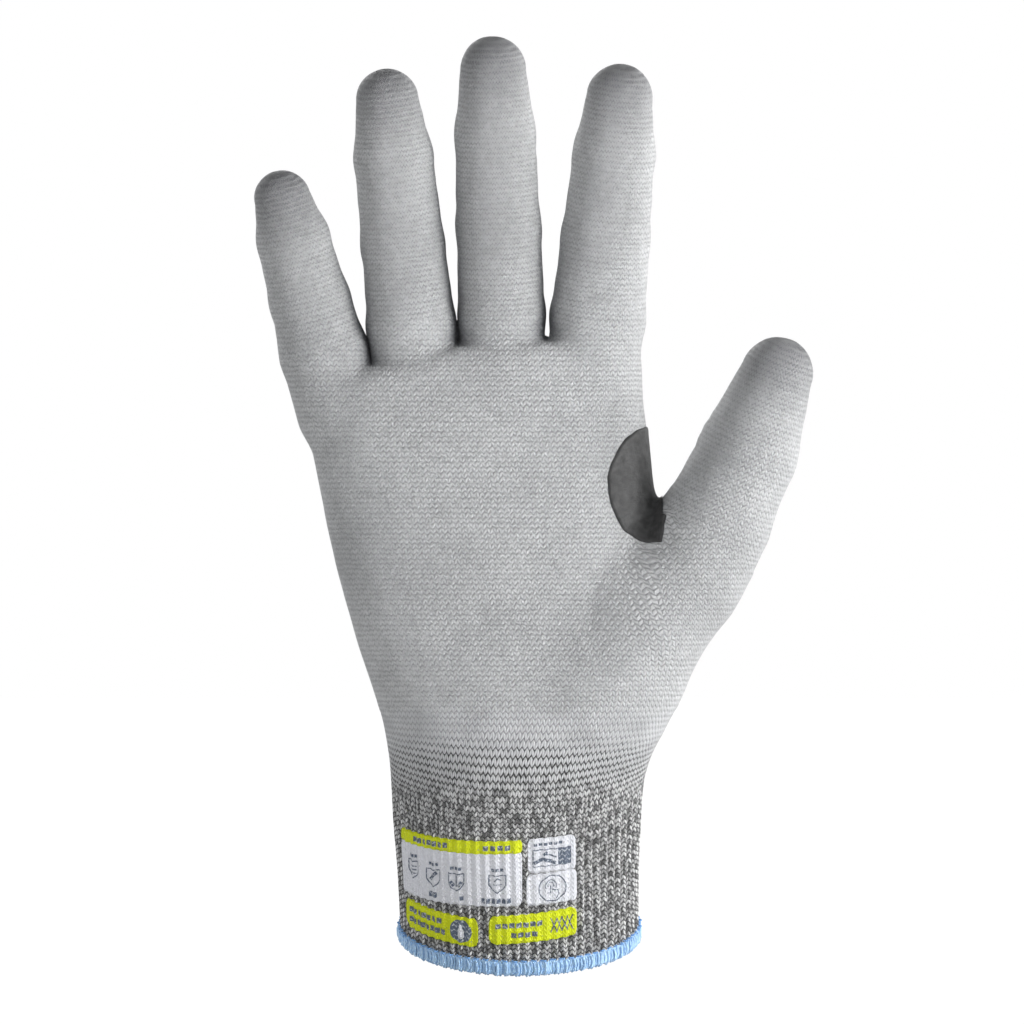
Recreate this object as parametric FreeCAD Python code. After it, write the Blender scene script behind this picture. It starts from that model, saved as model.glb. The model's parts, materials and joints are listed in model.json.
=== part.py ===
import FreeCAD, Part
import math
import os
from FreeCAD import Vector

# Right-hand cut resistant work glove in its worn shape: a seamless knitted liner, a polyurethane palm coat,
# a reinforcement patch in the thumb crotch, a ribbed cuff with laid-in elastic and an overlocked hem.
# Millimetres. +Z runs along the hand to the fingertips, -Y is the palm side and +X the thumb side.
# The origin is the centre of the cuff opening. Angles are in degrees.

# ---- layers
KNIT_WALL = 1.2
COAT_THICKNESS = 0.3
PATCH_THICKNESS = 0.5
FILM_THICKNESS = 0.15

# ---- joints
SLEEVE_CLEARANCE = 0.6      # room left between two segments at full bend
MOVING_GAP = 0.3            # between a fold sleeve and the segment that turns
AXIS_TO_PALM = 0.36         # joint axis in front of the finger's middle, as a share of its half depth
FLEX_LIMITS = {"mcp": (-15, 65), "pip": (-6, 75), "dip": (-8, 40)}
THUMB_LIMITS = {"mcp": (-15, 30), "ip": (-10, 40)}

# ---- cuff
CUFF_WIDTH = 64.0
CUFF_DEPTH = 47.0
CUFF_LENGTH = 43.0          # hem edge to the wrist fold
CUFF_TILT = 24.0            # the cuff leans back from the hand
WRIST_WIDTH = 68.0
WRIST_DEPTH = 46.0
WRIST_FOLD = 11.0           # half the length of the wrist fold
HEM_HEIGHT = 4.5
HEM_THREAD = 0.7            # how far the overlock stands off the knit
HEM_EDGE = 1.5              # overlock below the knit's raw edge
NEEDLE_THREAD_RADIUS = 0.25
ELASTIC_COUNT = 8
ELASTIC_PITCH = 4.4
ELASTIC_RADIUS = 0.35

# ---- palm: (height above the wrist joint, left edge, right edge, depth)
PALM_SECTIONS = [
    (WRIST_FOLD, -36.9, 40.0, 44.0),
    (30.0, -43.4, 38.0, 39.0),
    (56.0, -49.8, 36.0, 34.0),
    (80.0, -54.9, 34.2, 30.5),
    (98.0, -59.2, 32.2, 26.5),
    (102.5, -48.0, 31.4, 18.0),
]
PALM_BACK_BARE = 3.0        # the coat ends this far in front of the hand's middle plane

# ---- fingers: root centre (x, height above the wrist joint), splay, forward tilt of each segment, bone lengths and widths
FINGER_DEPTH_SHARE = 0.88
FINGER_TILT = (3, 9, 17)
FINGER_STUB = 22.0          # how far each finger's root reaches down into the palm
FINGERS = {
    "little": dict(root=(-51.0, 102.9), splay=-15.2, bones=(14.5, 16.7, 19.0), widths=(22.6, 20.6, 18.6, 15.4)),
    "ring": dict(root=(-28.3, 109.9), splay=-6.2, bones=(21.4, 23.8, 23.8), widths=(23.0, 21.4, 20.2, 17.4)),
    "middle": dict(root=(-4.7, 112.1), splay=-2.0, bones=(24.0, 25.3, 26.0), widths=(22.6, 21.8, 20.6, 18.2)),
    "index": dict(root=(20.2, 111.3), splay=5.7, bones=(21.6, 22.8, 24.1), widths=(24.6, 22.8, 21.0, 18.4)),
}

# ---- thumb
THUMB_DEPTH_SHARE = 0.9
THUMB = dict(root=(51.6, 61.0), splay=27.5, bones=(19.0, 31.6), widths=(29.4, 27.6, 20.8))
THUMB_TILT = (4, 9)
THUMB_FORWARD = 6.0         # the thumb's root lies this far in front of the hand's middle plane
THUMB_TURN = 50.0           # how far the thumb's bending plane turns towards the index finger
# the thumb's heel from the wrist to the thumb root: (x, height above the wrist joint, width, depth)
HEEL_SECTIONS = [(20.5, 21.4, 35.0, 34.0), (33.0, 34.0, 33.0, 33.0), (43.4, 46.5, 30.4, 29.4)]
HEEL_FORWARD = 4.0
HEEL_LEAN = 32.0

# ---- thumb crotch patch, an oval seen from the palm side: (x, height above the wrist joint)
PATCH_CENTRE = (35.5, 71.9)
PATCH_HALF_WIDTH = 12.0
PATCH_HALF_HEIGHT = 15.5
PATCH_GAP = 0.02

# ---- transfer prints on the front of the cuff: (left, bottom, width, height, slope) on the flat cuff
PRINT_CORNER = 1.6
PRINTS = {
    "rating_print_panel": (-31.2, 16.4, 31.6, 15.6, 6.0),
    "rating_print_banner": (-32.9, 32.1, 31.6, 3.4, 6.0),
    "impact_print_panel": (2.1, 31.0, 12.5, 9.6, 3.0),
    "touch_print_panel": (1.6, 21.0, 13.6, 8.9, 3.0),
    "material_print_panel": (-30.2, 7.6, 19.0, 8.2, 2.0),
    "fibre_print_panel": (-8.0, 8.9, 23.2, 8.2, 6.0),
}


# ---- small vector helpers
def turned(angle):
    """(sine, cosine) of an angle in degrees."""
    a = math.radians(angle)
    return math.sin(a), math.cos(a)


def oval(centre, across, forward, half_width, half_depth):
    """A closed elliptical wire with its width along across and its depth along forward."""
    if half_depth > half_width:
        across, forward, half_width, half_depth = forward, -across, half_depth, half_width
    wire = Part.Wire(Part.Ellipse(Vector(0, 0, 0), half_width, half_depth).toShape())
    normal = across.cross(forward)
    wire.Placement = FreeCAD.Placement(
        FreeCAD.Matrix(across.x, forward.x, normal.x, centre.x,
                       across.y, forward.y, normal.y, centre.y,
                       across.z, forward.z, normal.z, centre.z,
                       0, 0, 0, 1))
    return wire


class Station:
    """One cross-section of a tube: its middle, its width and depth directions and its half sizes."""

    def __init__(self, centre, across, forward, half_width, half_depth):
        self.centre, self.across, self.forward = centre, across, forward
        self.half_width, self.half_depth = half_width, half_depth

    def wire(self, grow):
        return oval(self.centre, self.across, self.forward, self.half_width + grow, self.half_depth + grow)


def between(a, b, share):
    """The station a share of the way from a to b, with a's directions. The share may lie outside 0 to 1."""
    mix = lambda p, q: p + (q - p) * share
    return Station(mix(a.centre, b.centre), a.across, a.forward,
                   mix(a.half_width, b.half_width), mix(a.half_depth, b.half_depth))


def loft(stations, grow=0.0, ruled=False):
    """The solid through the stations, grown by that much all round."""
    return Part.makeLoft([s.wire(grow) for s in stations], True, ruled)


def straight_tube(a, b, outside, inside):
    """A straight tube wall from station a to b, between two grown surfaces. The bore runs past both ends."""
    over = 1.0 / (b.centre - a.centre).Length
    bore = loft([between(a, b, -over), between(a, b, 1 + over)], inside, True)
    return loft([a, b], outside, True).cut(bore)


def bent_tube(stations, outside, inside):
    """A tube wall through several stations, between two grown surfaces."""
    return loft(stations, outside).cut(loft(stations, inside))


def facing_box(origin, forward, across, along, size_forward, size_across, size_along):
    """A box from origin, centred across, running forward and along."""
    box = Part.makeBox(size_forward, size_across, size_along, Vector(0, -size_across / 2, 0))
    box.Placement = FreeCAD.Placement(
        FreeCAD.Matrix(forward.x, across.x, along.x, origin.x,
                       forward.y, across.y, along.y, origin.y,
                       forward.z, across.z, along.z, origin.z,
                       0, 0, 0, 1))
    return box


SEGMENTS = {3: ("proximal", "middle", "distal"), 2: ("proximal", "distal")}
ACROSS = Vector(1, 0, 0)
PALM_FORWARD = Vector(0, -1, 0)
TILT_SINE, TILT_COSINE = turned(CUFF_TILT)
CUFF_UP = Vector(0, -TILT_SINE, TILT_COSINE)
CUFF_FORWARD = Vector(0, -TILT_COSINE, -TILT_SINE)
WRIST = CUFF_UP * (CUFF_LENGTH + WRIST_FOLD)


# ---- the digits
class Digit:
    """A finger or the thumb: straight segments with a fold sleeve at each joint."""

    def __init__(self, name, root, y, splay, tilt, bones, widths, depth_share, joints, limits, turn=0.0):
        self.name, self.joints, self.limits = name, joints, limits
        s, c = turned(splay)
        up, side, palm = Vector(s, 0, c), Vector(c, 0, -s), Vector(0, -1, 0)
        st, ct = turned(turn)
        self.flex = palm * ct - side * st       # the way the digit curls
        self.across = side * ct + palm * st     # the joint axes' direction
        self.root = Vector(root[0], y, WRIST.z + root[1])
        self.along, self.forward = [], []
        for angle in tilt:
            sa, ca = turned(angle)
            self.along.append(up * ca + self.flex * sa)
            self.forward.append(self.flex * ca - up * sa)
        self.half = [(w / 2, w / 2 * depth_share) for w in widths]
        # half the length of each fold, so that the two segments clear each other at full bend
        at_rest = [0] + [b - a for a, b in zip(tilt, tilt[1:])]
        self.fold = [
            depth * (1 - AXIS_TO_PALM) * math.tan(math.radians((limits[j][1] + bend) / 2)) + SLEEVE_CLEARANCE
            for j, bend, (_, depth) in zip(joints, at_rest, self.half)]
        self.pivots = [self.root + self.along[0] * self.fold[0]]
        for direction, length in zip(self.along, bones[:-1]):
            self.pivots.append(self.pivots[-1] + direction * length)
        self.tip = self.pivots[-1] + self.along[-1] * bones[-1]

    def axis_point(self, i):
        """A point on joint i's axis, in front of the middle."""
        return self.pivots[i] + self.forward[i] * (self.half[i][1] * AXIS_TO_PALM)

    def station(self, i, distance, part=None):
        """The section of segment i at a distance past its joint. A segment tapers to the next joint."""
        length = (self.pivots[i + 1] if i + 1 < len(self.pivots) else self.tip) - self.pivots[i]
        share = distance / length.Length
        w, d = (p + (q - p) * share for p, q in zip(self.half[i], self.half[i + 1]))
        return Station(self.pivots[i] + self.along[i] * distance, self.across, self.forward[i], w, d)

    def ends(self, i):
        """The first and last station of the rigid part of segment i, without the last one's dome."""
        first = self.station(i, self.fold[i] + MOVING_GAP)
        if i + 1 < len(self.pivots):
            return first, self.station(i, (self.pivots[i + 1] - self.pivots[i]).Length - self.fold[i + 1])
        return first, self.station(i, (self.tip - self.pivots[i]).Length - self.half[-1][0])

    def thimble(self, grow):
        """The solid of the last segment with its round end, grown all round."""
        first, last = self.ends(len(self.pivots) - 1)
        stations = [first, between(first, last, 0.5)]
        for angle in (0, 28, 50, 68, 81):
            s, c = turned(angle)
            along = last.centre + self.along[-1] * ((last.half_width + grow) * s)
            stations.append(Station(along, last.across, last.forward,
                                    (last.half_width + grow) * c - grow, (last.half_depth + grow) * c - grow))
        return loft(stations, grow)

    def knit(self, i):
        first, last = self.ends(i)
        if i + 1 < len(self.pivots):
            return straight_tube(first, last, 0, -KNIT_WALL)
        mouth = loft([between(first, last, -0.1), first], -KNIT_WALL, True)
        return self.thimble(0).cut(self.thimble(-KNIT_WALL)).cut(mouth)

    def coat(self, i):
        """The coat on the palm half of segment i; on the last one it also goes round the fingertip."""
        first, last = self.ends(i)
        reach = 3 * first.half_width
        palm = facing_box(first.centre - self.along[i] * reach, self.forward[i], self.across, self.along[i],
                          reach, 2 * reach, 6 * reach)
        if i + 1 < len(self.pivots):
            return straight_tube(first, last, COAT_THICKNESS, 0).common(palm)
        skin = self.thimble(COAT_THICKNESS).cut(self.thimble(0))
        cap = facing_box(last.centre - self.forward[i] * reach, self.forward[i], self.across, self.along[i],
                         2 * reach, 2 * reach, reach)
        return skin.common(palm.fuse(cap))

    def sleeve(self, i):
        """The knit that folds at joint i, from the palm or the last segment to this one."""
        if i == 0:
            start = Station(self.root, self.across, self.forward[0], *self.half[0])
        else:
            start = self.ends(i - 1)[1]
        middle = self.station(i, 0)
        end = self.station(i, self.fold[i])
        return bent_tube([start, middle, end], 0, -KNIT_WALL)


def make_digits():
    digits = {n: Digit(n, y=WRIST.y, tilt=FINGER_TILT, depth_share=FINGER_DEPTH_SHARE,
                       joints=("mcp", "pip", "dip"), limits=FLEX_LIMITS, **f) for n, f in FINGERS.items()}
    digits["thumb"] = Digit("thumb", y=WRIST.y - THUMB_FORWARD, tilt=THUMB_TILT, depth_share=THUMB_DEPTH_SHARE,
                            joints=("mcp", "ip"), limits=THUMB_LIMITS, turn=THUMB_TURN, **THUMB)
    return digits


DIGITS = make_digits()


# ---- the cuff
def cuff_station(height):
    """The cuff's section at a height along its own axis."""
    share = height / CUFF_LENGTH
    width = CUFF_WIDTH + (WRIST_WIDTH - CUFF_WIDTH) * share
    depth = CUFF_DEPTH + (WRIST_DEPTH - CUFF_DEPTH) * share
    return Station(CUFF_UP * height, ACROSS, CUFF_FORWARD, width / 2, depth / 2)


def cuff_band(low, high, outside, inside):
    return straight_tube(cuff_station(low), cuff_station(high), outside, inside)


def cuff_knit():
    return cuff_band(HEM_EDGE, CUFF_LENGTH, 0, -KNIT_WALL)


def cuff_hem(knit):
    return cuff_band(0, HEM_HEIGHT, HEM_THREAD, -KNIT_WALL - HEM_THREAD).cut(knit)


def ring_yarn(height, grow, radius):
    """A round yarn once round the cuff at a height, with its middle on the grown surface."""
    s = cuff_station(height)
    yarn = Part.Wire(Part.makeCircle(radius, s.centre + s.across * (s.half_width + grow), s.forward))
    return s.wire(grow).makePipeShell([yarn], True, True)


def cuff_elastic():
    """Elastic yarns laid in along the inside of the rib."""
    return Part.makeCompound([ring_yarn(HEM_HEIGHT + ELASTIC_PITCH * (n + 0.7), -KNIT_WALL - ELASTIC_RADIUS,
                                        ELASTIC_RADIUS) for n in range(ELASTIC_COUNT)])


def print_prism(left, bottom, width, height, slope):
    """A rounded rectangle standing on the cuff's own slope, from its middle to past its front."""
    box = Part.makeBox(width, CUFF_DEPTH, height, Vector(left, -CUFF_DEPTH, bottom))
    corners = [e for e in box.Edges if abs(e.tangentAt(e.FirstParameter).y) > 0.99]
    prism = box.makeFillet(PRINT_CORNER, corners)
    prism.rotate(Vector(left, 0, bottom), Vector(0, -1, 0), slope)
    prism.rotate(Vector(0, 0, 0), ACROSS, CUFF_TILT)
    return prism


# ---- the wrist and the palm
def wrist_sleeve():
    """The knit between the cuff and the palm, which folds at the wrist."""
    cuff_end = cuff_station(CUFF_LENGTH)
    height, left, right, depth = PALM_SECTIONS[0]
    palm_end = Station(Vector((left + right) / 2, WRIST.y, WRIST.z + height - MOVING_GAP),
                       ACROSS, PALM_FORWARD, (right - left) / 2, depth / 2)
    s, c = turned(CUFF_TILT / 2)
    middle = Station(WRIST + ACROSS * (palm_end.centre.x / 2), ACROSS, Vector(0, -c, -s),
                     (cuff_end.half_width + palm_end.half_width) / 2,
                     (cuff_end.half_depth + palm_end.half_depth) / 2)
    return bent_tube([cuff_end, middle, palm_end], 0, -KNIT_WALL)


def palm_wire(section, grow, raised=0.0):
    """An oblong section of the palm with round ends."""
    height, left, right, depth = section
    y, z = WRIST.y, WRIST.z + height + raised
    r = depth / 2 + grow
    x0, x1 = left - grow + r, right + grow - r
    corners = [Vector(x0, y - r, z), Vector(x1, y - r, z), Vector(x1, y + r, z), Vector(x0, y + r, z)]
    right_end = Part.Arc(corners[1], Vector(x1 + r, y, z), corners[2]).toShape()
    left_end = Part.Arc(corners[3], Vector(x0 - r, y, z), corners[0]).toShape()
    return Part.Wire([Part.LineSegment(corners[0], corners[1]).toShape(), right_end,
                      Part.LineSegment(corners[2], corners[3]).toShape(), left_end])


def palm_body(grow):
    """The palm, the thumb's heel and the digits' roots as one solid, grown all round.

    A shrunken one is the hollow: it runs out of every opening and keeps the knit's wall between them."""
    over = 1.0 if grow < 0 else 0.0
    wires = [palm_wire(PALM_SECTIONS[0], grow, -over)]
    wires += [palm_wire(s, grow) for s in PALM_SECTIONS[1:-1]]
    wires += [palm_wire(PALM_SECTIONS[-1], grow, min(grow, 0.0))]
    body = Part.makeLoft(wires, True, False)
    s, c = turned(HEEL_LEAN)
    heel = [Station(Vector(x, WRIST.y - HEEL_FORWARD, WRIST.z + z), Vector(c, 0, -s), PALM_FORWARD, w / 2, d / 2)
            for x, z, w, d in HEEL_SECTIONS]
    thumb = DIGITS["thumb"]
    roots = [loft(heel + [Station(thumb.root + thumb.along[0] * over, thumb.across, thumb.forward[0],
                                  *thumb.half[0])], grow)]
    for name in FINGERS:
        d = DIGITS[name]
        stub = [Station(d.root + d.along[0] * up, d.across, d.forward[0], *d.half[0])
                for up in (-FINGER_STUB, over)]
        roots.append(loft(stub, grow, True))
    return body.fuse(roots)


def palm_nodes():
    outside = palm_body(0)
    coated = palm_body(COAT_THICKNESS)
    reach = 200.0
    front = Part.makeBox(reach, reach, reach, Vector(-reach / 2, WRIST.y - PALM_BACK_BARE - reach, 0))
    coat = coated.cut(outside).common(front)
    patch = crotch_patch(COAT_THICKNESS)
    return {"palm_knit": outside.cut(palm_body(-KNIT_WALL)), "palm_coating": coat, "thumb_crotch_patch": patch}


def crotch_skin(grow):
    """The palm and the lower half of the thumb as one solid, grown all round."""
    thumb = DIGITS["thumb"]
    first, last = thumb.ends(0)
    start = Station(thumb.root, thumb.across, thumb.forward[0], *thumb.half[0])
    return palm_body(grow).fuse([loft([start, first, last], grow)])


def crotch_patch(below):
    """The rubber patch over the coat between the thumb and the index finger, front and back."""
    x, z = PATCH_CENTRE
    outline = oval(Vector(x, 2 * WRIST.y, WRIST.z + z), Vector(0, 0, 1), ACROSS, PATCH_HALF_HEIGHT, PATCH_HALF_WIDTH)
    prism = Part.Face(outline).extrude(Vector(0, -4 * WRIST.y, 0))
    return crotch_skin(below + PATCH_THICKNESS).cut(crotch_skin(below + PATCH_GAP)).common(prism)


def build():
    knit = cuff_band(HEM_EDGE, CUFF_LENGTH, 0, -KNIT_WALL)
    nodes = {
        "cuff_rib_knit": knit,
        "cuff_hem_overlock": cuff_band(0, HEM_HEIGHT, HEM_THREAD, -KNIT_WALL - HEM_THREAD).cut(knit),
        "cuff_hem_needle_thread": ring_yarn(HEM_HEIGHT + NEEDLE_THREAD_RADIUS, HEM_THREAD / 2,
                                            NEEDLE_THREAD_RADIUS),
        "cuff_elastic_yarns": cuff_elastic(),
        "wrist_fold_sleeve": wrist_sleeve(),
    }
    film = cuff_band(HEM_HEIGHT + 1.0, CUFF_LENGTH, FILM_THICKNESS, 0)
    for name, outline in PRINTS.items():
        nodes[name] = film.common(print_prism(*outline))
    nodes.update(palm_nodes())
    for name, digit in DIGITS.items():
        for i, segment in enumerate(SEGMENTS[len(digit.pivots)]):
            nodes[f"{name}_{segment}_knit"] = digit.knit(i)
            nodes[f"{name}_{segment}_coating"] = digit.coat(i)
            nodes[f"{name}_{digit.joints[i]}_fold_sleeve"] = digit.sleeve(i)
    return nodes


def main():
    os.makedirs("parts", exist_ok=True)
    for name, shape in build().items():
        print(f"{name:32s} solids {len(shape.Solids)}  faces {len(shape.Faces)}  "
              f"volume {shape.Volume:9.1f}  valid {shape.isValid()}")
        shape.exportStep(f"parts/{name}.step")


main()
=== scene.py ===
import itertools
import json
import math
import random

import bpy
import numpy as np
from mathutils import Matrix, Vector, noise


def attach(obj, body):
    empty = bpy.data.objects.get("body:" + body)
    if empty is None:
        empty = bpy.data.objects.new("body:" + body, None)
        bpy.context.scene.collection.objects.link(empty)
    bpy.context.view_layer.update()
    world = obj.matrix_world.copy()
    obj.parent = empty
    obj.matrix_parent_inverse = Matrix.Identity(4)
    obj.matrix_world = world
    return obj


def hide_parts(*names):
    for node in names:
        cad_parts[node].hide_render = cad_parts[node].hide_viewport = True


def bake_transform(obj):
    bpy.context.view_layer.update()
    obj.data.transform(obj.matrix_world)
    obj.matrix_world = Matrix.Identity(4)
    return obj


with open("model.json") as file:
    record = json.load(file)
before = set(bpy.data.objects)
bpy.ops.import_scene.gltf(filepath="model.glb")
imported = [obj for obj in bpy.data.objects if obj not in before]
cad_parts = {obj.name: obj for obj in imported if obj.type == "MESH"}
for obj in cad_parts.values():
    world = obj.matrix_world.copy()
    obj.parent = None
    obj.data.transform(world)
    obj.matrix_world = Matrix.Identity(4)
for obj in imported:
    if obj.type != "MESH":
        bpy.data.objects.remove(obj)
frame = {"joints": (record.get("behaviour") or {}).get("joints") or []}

# A right-hand cut resistant glove. Lengths in this script are millimetres in the row frame unless they say
# otherwise; Surface.object() turns them into metres.
MM = 0.001
SCENE = bpy.context.scene
norm = np.linalg.norm
VOXEL = 0.85
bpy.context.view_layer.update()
JOINTS = {j["name"]: j for j in frame["joints"]}

# ---- the part's own sizes
KNIT_WALL = 1.2
COAT = 0.28
CUFF_TILT = 24.0
CUFF_LENGTH = 43.0
CUFF_HALF_WIDTH, CUFF_HALF_DEPTH = 32.0, 23.5
HEM_HEIGHT = 4.5
AXIS_TO_PALM = 0.36
SLEEVE_CLEARANCE = 0.6
ROOT_STUB = 12.0
FINGER_TILT = (3, 9, 17)
DIGIT_SIZES = {
    "little": dict(root=(-51.0, 152.2), splay=-15.2,
                   bones=(14.5, 16.7, 19.0), widths=(22.6, 20.6, 18.6, 14.2)),
    "ring": dict(root=(-28.3, 159.2), splay=-6.2,
                 bones=(21.4, 23.8, 23.8), widths=(23.0, 21.4, 20.2, 16.0)),
    "middle": dict(root=(-4.7, 161.4), splay=-2.0,
                   bones=(24.0, 25.3, 26.0), widths=(22.6, 21.8, 20.6, 16.8)),
    "index": dict(root=(20.2, 160.6), splay=5.7,
                  bones=(21.6, 22.8, 24.1), widths=(24.6, 22.8, 21.0, 17.0)),
    "thumb": dict(root=(51.6, 110.3), splay=27.5, bones=(19.0, 31.6), widths=(29.4, 27.6, 19.8),
                  tilt=(4, 9), turn=50.0, share=0.9, forward=6.0),
}
# height, left edge, right edge and depth of the trunk from below the hem to the finger roots
TRUNK = np.array([
    (-16, -31.4, 31.4, 51.4), (0, -31.4, 31.4, 51.4), (17, -32.2, 31.4, 51.0), (36, -33.8, 32.2, 48.6),
    (46, -34.4, 33.2, 46.4), (55.4, -35.6, 38.0, 44.0), (61.8, -36.8, 42.4, 43.0), (74.6, -41.2, 43.0, 40.2),
    (87.4, -45.6, 38.0, 37.2), (100, -48.8, 36.6, 34.6), (116, -52.0, 35.8, 32.4), (129, -54.9, 34.2, 30.5),
    (141.7, -56.6, 32.8, 28.2), (151, -58.6, 31.8, 26.0), (175, -62.0, 31.0, 24.0)])
# the line under the webs: x and height
WEB_LINE = np.array([(-70, 147.0), (-60, 148.5), (-38.6, 152.6), (-16.5, 158.2), (6.7, 159.8),
                     (33, 157.0), (50, 156.0)])
# the ball of the thumb: x, height, half width and half depth of its swellings, and how far forward they lie
HEEL = ((20.6, 68.0, 18.0, 17.0), (32.6, 83.3, 16.4, 16.5), (43.4, 95.8, 15.2, 14.7))
HEEL_FORWARD = 4.0
# how softly shapes melt together: a digit's segments, the trunk's top edge, the thumb and the webs
SEGMENT_BLEND, TOP_BLEND, THUMB_BLEND, WEB_BLEND = 1.6, 7.0, 6.5, 2.5
PALM_SIDE = np.array([0, -1.0, 0])


def direction(x, y, z):
    v = np.array([x, y, z], float)
    return v / norm(v)


def sincos(angle):
    return math.sin(math.radians(angle)), math.cos(math.radians(angle))


TILT_S, TILT_C = sincos(CUFF_TILT)
CUFF_UP = np.array([0, -TILT_S, TILT_C])
CUFF_FORWARD = np.array([0, -TILT_C, -TILT_S])
WRIST = np.array(JOINTS["wrist_flex"]["pos_m"]) / MM
HAND_Y = WRIST[1]


class Digit:
    """A finger or the thumb: its middle line, directions and half sizes, from the part's own joints."""

    def __init__(self, name, root, splay, bones, widths, tilt=FINGER_TILT, turn=0.0, share=0.88, forward=0.0):
        self.name = name
        kinds = ("mcp", "pip", "dip") if len(bones) == 3 else ("mcp", "ip")
        self.joints = [JOINTS[f"{name}_{k}_flex"] for k in kinds]
        self.kinds = kinds
        s, c = sincos(splay)
        up, side = np.array([s, 0, c]), np.array([c, 0, -s])
        st, ct = sincos(turn)
        self.flex = PALM_SIDE * ct - side * st
        self.across = side * ct + PALM_SIDE * st
        self.side = side
        self.root = np.array([root[0], HAND_Y - forward, root[1]])
        self.along, self.forward = [], []
        for angle in tilt:
            sa, ca = sincos(angle)
            self.along.append(up * ca + self.flex * sa)
            self.forward.append(self.flex * ca - up * sa)
        self.half = [(w / 2, w / 2 * share) for w in widths]
        bends = [j["range_deg"][1] + t for j, t in zip(self.joints, np.diff(tilt, prepend=tilt[0]))]
        self.fold = [hd * (1 - AXIS_TO_PALM) * math.tan(math.radians(b / 2)) + SLEEVE_CLEARANCE
                     for (_, hd), b in zip(self.half, bends)]
        self.pivots = [np.array(j["pos_m"]) / MM - f * (hd * AXIS_TO_PALM)
                       for j, f, (_, hd) in zip(self.joints, self.forward, self.half)]
        self.tip = self.pivots[-1] + self.along[-1] * bones[-1]
        self.low = self.root - self.along[0] * ROOT_STUB
        self.base = ()

    def segments(self):
        """(start, end, forward, half sizes at both) of each straight stretch, root stub included."""
        ends = self.pivots + [self.tip - self.along[-1] * self.half[-1][0]]
        yield self.low, ends[0], self.forward[0], self.half[0], self.half[0]
        for i in range(len(self.pivots)):
            yield ends[i], ends[i + 1], self.forward[i], self.half[i], self.half[i + 1]

    def distance(self, p):
        """About the distance to the digit, with the base that it grows from."""
        out = None
        for segment in [*self.base, *self.segments()]:
            d = ellipse_cone(p, *segment, self.across)
            out = d if out is None else smooth_min(out, d, SEGMENT_BLEND)
        return out


# ---- distance fields
def smooth_min(a, b, k):
    h = np.clip(0.5 + 0.5 * (b - a) / k, 0, 1)
    return b + (a - b) * h - k * h * (1 - h)


def ellipse_cone(p, start, end, forward, size0, size1, across):
    """About the distance from p to an elliptical cone with round ends."""
    axis = end - start
    length = norm(axis)
    axis = axis / length
    side = np.cross(forward, axis)
    side = side / norm(side) * np.sign(side @ across)
    front = np.cross(axis, side)
    q = p - start
    t = q @ axis
    tc = np.clip(t, 0, length)
    s = tc / length
    w = size0[0] + (size1[0] - size0[0]) * s
    d = size0[1] + (size1[1] - size0[1]) * s
    a, f, e = q @ side, q @ front, t - tc
    k0 = np.sqrt((a / w) ** 2 + (f / d) ** 2 + (e / w) ** 2)
    k1 = np.sqrt((a / w ** 2) ** 2 + (f / d ** 2) ** 2 + (e / w ** 2) ** 2)
    return k0 * (k0 - 1) / np.maximum(k1, 1e-6)


def smooth_table(rows, spread):
    """The rows resampled every millimetre and softened."""
    z = np.arange(rows[0, 0], rows[-1, 0] + 1, 1.0)
    kernel = np.exp(-0.5 * (np.arange(-3 * spread, 3 * spread + 1) / spread) ** 2)
    kernel /= kernel.sum()
    columns = [z]
    for i in range(1, rows.shape[1]):
        v = np.interp(z, rows[:, 0], rows[:, i])
        columns.append(np.convolve(np.pad(v, 3 * spread, mode="edge"), kernel, "valid"))
    return np.array(columns)


SPINE = np.array([(-16, 16 * TILT_S / TILT_C), (38, -38 * TILT_S / TILT_C), (58, HAND_Y), (175, HAND_Y)])
TRUNK_TABLE = smooth_table(TRUNK, 5)
SPINE_TABLE = smooth_table(SPINE, 6)
WEB_TABLE = smooth_table(WEB_LINE, 4)


def trunk_section(z):
    """Centre x and y, half width, half depth and squareness of the trunk at heights z."""
    left, right, depth = (np.interp(z, TRUNK_TABLE[0], c) for c in TRUNK_TABLE[1:])
    y = np.interp(z, SPINE_TABLE[0], SPINE_TABLE[1])
    n = np.interp(z, [40, 80], [2.0, 2.5])
    return (left + right) / 2, y, (right - left) / 2, depth / 2, n


def trunk_distance(p):
    cx, cy, w, d, n = trunk_section(p[:, 2])
    x, y = np.abs(p[:, 0] - cx) / w, np.abs(p[:, 1] - cy) / d
    k = np.maximum((x ** n + y ** n) ** (1 / n), 1e-6)
    slope = np.sqrt((x ** (n - 1) / w) ** 2 + (y ** (n - 1) / d) ** 2) / k ** (n - 1)
    side = (k - 1) / np.maximum(slope, 1e-3)
    top = p[:, 2] - np.interp(p[:, 0], WEB_TABLE[0], WEB_TABLE[1])
    return -smooth_min(-side, -top, TOP_BLEND)


DIGITS = {n: Digit(n, **s) for n, s in DIGIT_SIZES.items()}
THUMB = DIGITS["thumb"]
THUMB_NUMBER = list(DIGITS).index("thumb") + 1
HEEL_BOX = np.array([[-5, HAND_Y - 32, 48], [75, HAND_Y + 20, 110]])


def heel_segments():
    points = [(np.array([x, HAND_Y - HEEL_FORWARD, z]), (w, d)) for x, z, w, d in HEEL]
    points.append((THUMB.root, THUMB.half[0]))
    return [(a, b, PALM_SIDE, sa, sb) for (a, sa), (b, sb) in zip(points, points[1:])]


THUMB.base = heel_segments()


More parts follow.
